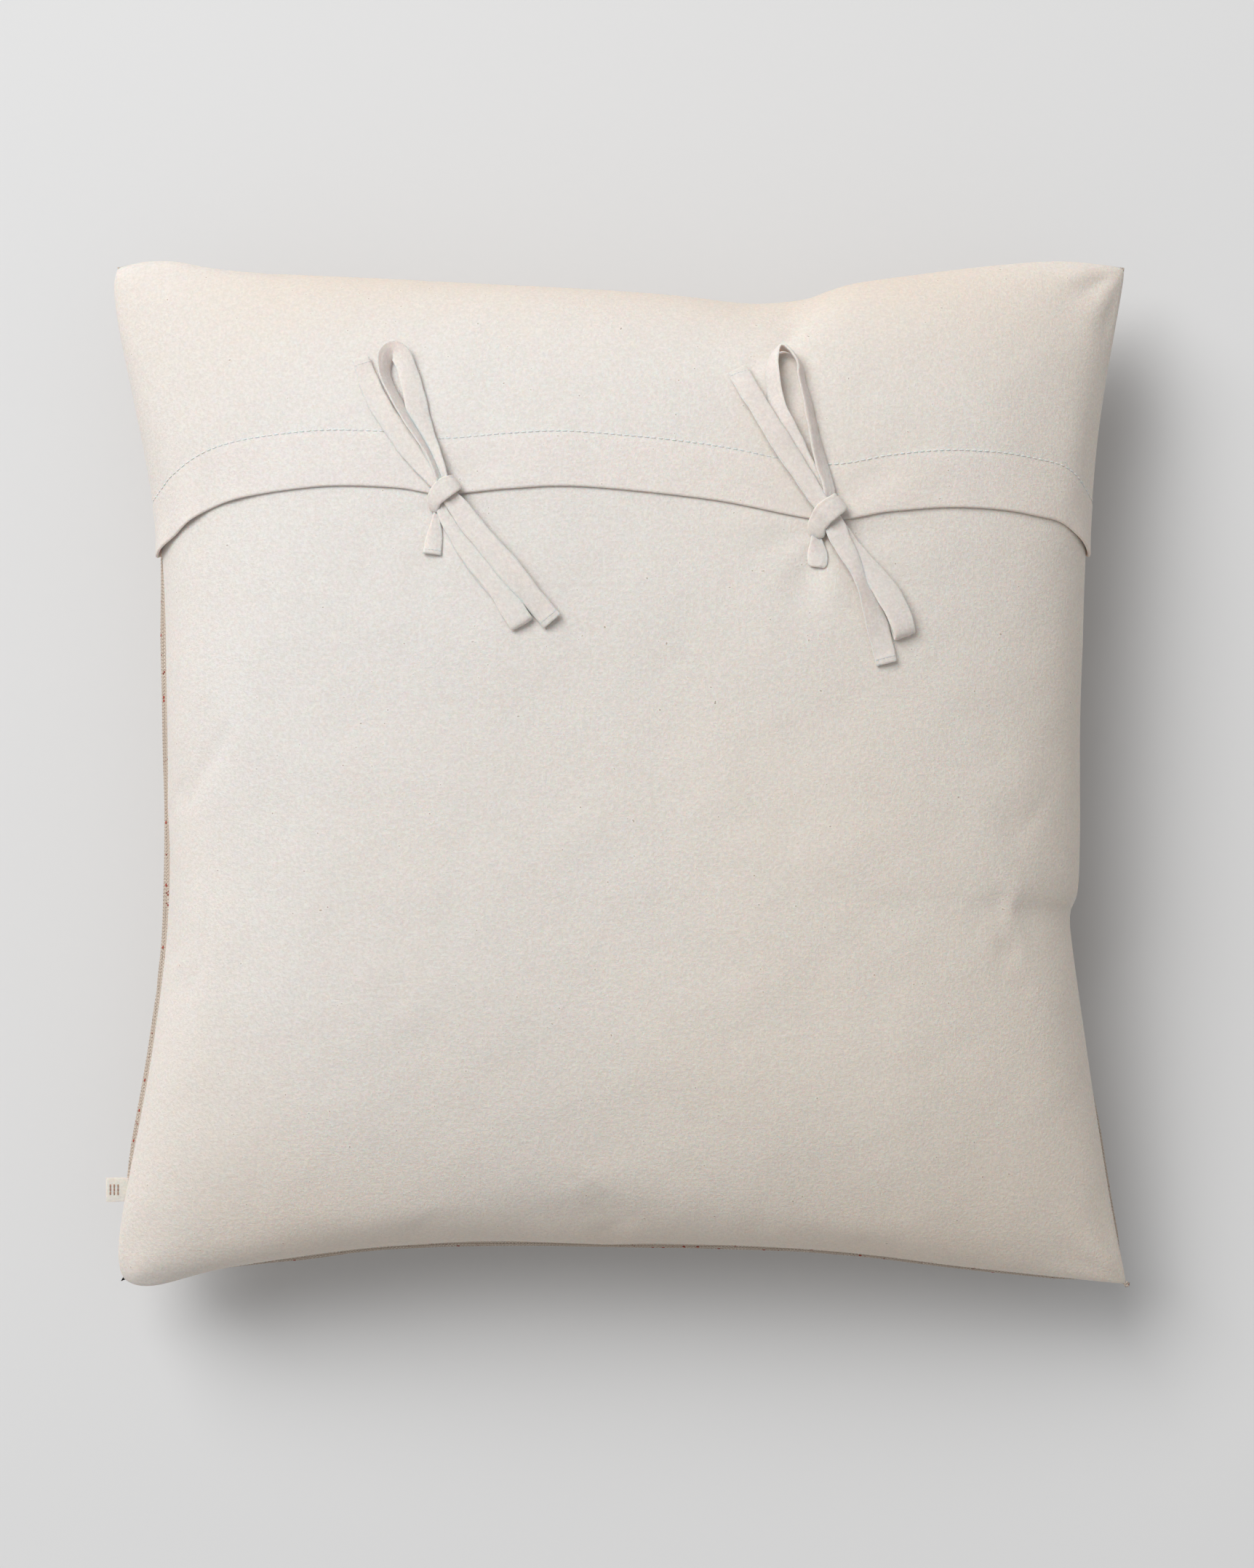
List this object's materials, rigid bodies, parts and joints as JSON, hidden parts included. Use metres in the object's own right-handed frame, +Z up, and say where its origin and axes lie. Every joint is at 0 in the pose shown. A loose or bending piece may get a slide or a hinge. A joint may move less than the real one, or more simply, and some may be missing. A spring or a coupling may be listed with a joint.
{
  "type": "floor cushion",
  "caption": "Square filled floor cushion in a removable cotton cover, whose overlapping back flap is held down by ribbon bows.",
  "frame": {"origin": "on the floor under the middle of the cushion as it lies face down", "axes": "+Z up out of the tied back, +Y towards the seam that the flap hangs from, +X to the right seen from above"},
  "size_m": [0.5853, 0.5894, 0.1761],
  "materials": {
    "canvas": "natural cream cotton canvas, matt, slightly slubby",
    "front_weave": "cream cotton worked all over in running stitch, matt",
    "tie_cloth": "cream cotton tape, edge stitched, matt",
    "case_cotton": "plain white cotton lining",
    "fibre": "white polyester fibre filling",
    "label_tape": "cream woven tape with a plain stitched mark"
  },
  "bodies": {
    "cover": {"front_panel": "front_weave", "back_lower_panel": "canvas", "back_flap": "canvas", "insert_case_front": "case_cotton", "insert_case_back": "case_cotton", "insert_filling": "fibre", "left_knot": "tie_cloth", "left_flap_tie_base": "tie_cloth", "left_panel_tie_base": "tie_cloth", "right_knot": "tie_cloth", "right_flap_tie_base": "tie_cloth", "right_panel_tie_base": "tie_cloth"},
    "left_upper_tail": {"left_upper_tail": "tie_cloth"},
    "left_upper_loop": {"left_upper_loop": "tie_cloth"},
    "left_lower_loop": {"left_lower_loop": "tie_cloth"},
    "left_lower_tail": {"left_lower_tail": "tie_cloth"},
    "right_upper_loop": {"right_upper_loop": "tie_cloth"},
    "right_upper_tail": {"right_upper_tail": "tie_cloth"},
    "right_lower_loop": {"right_lower_loop": "tie_cloth"},
    "right_lower_tail": {"right_lower_tail": "tie_cloth"},
    "label": {"label_tab": "label_tape"}
  },
  "joints": [
    {"name": "left_upper_tail_lift", "type": "hinge", "parent": "cover", "child": "left_upper_tail", "pos_m": [-0.09868, 0.15727, 0.16303], "axis": [0.9063, 0.4226, -0.0029], "range_deg": [0, 40]},
    {"name": "left_upper_loop_lift", "type": "hinge", "parent": "left_upper_tail", "child": "left_upper_loop", "pos_m": [-0.09868, 0.15727, 0.16303], "axis": [0.9063, 0.4226, -0.0029], "range_deg": [0, 30]},
    {"name": "left_lower_loop_lift", "type": "hinge", "parent": "cover", "child": "left_lower_loop", "pos_m": [-0.09868, 0.15727, 0.16303], "axis": [-0.9063, -0.4226, 0.0029], "range_deg": [0, 40]},
    {"name": "left_lower_tail_lift", "type": "hinge", "parent": "left_lower_loop", "child": "left_lower_tail", "pos_m": [-0.09868, 0.15727, 0.16303], "axis": [-0.9063, -0.4226, 0.0029], "range_deg": [0, 30]},
    {"name": "right_upper_loop_lift", "type": "hinge", "parent": "cover", "child": "right_upper_loop", "pos_m": [0.11591, 0.14686, 0.16315], "axis": [0.8941, 0.4169, -0.1634], "range_deg": [0, 40]},
    {"name": "right_upper_tail_lift", "type": "hinge", "parent": "right_upper_loop", "child": "right_upper_tail", "pos_m": [0.11591, 0.14686, 0.16315], "axis": [0.8941, 0.4169, -0.1634], "range_deg": [0, 30]},
    {"name": "right_lower_loop_lift", "type": "hinge", "parent": "cover", "child": "right_lower_loop", "pos_m": [0.11591, 0.14686, 0.16315], "axis": [-0.8941, -0.4169, 0.1634], "range_deg": [0, 40]},
    {"name": "right_lower_tail_lift", "type": "hinge", "parent": "right_lower_loop", "child": "right_lower_tail", "pos_m": [0.11591, 0.14686, 0.16315], "axis": [-0.8941, -0.4169, 0.1634], "range_deg": [0, 30]},
    {"name": "label_flex", "type": "hinge", "parent": "cover", "child": "label", "pos_m": [-0.28194, -0.24078, 0.07186], "axis": [-0.1602, -0.9871, 0], "range_deg": [-60, 60], "stiffness_Nm_per_rad": 0.00002}
  ]
}
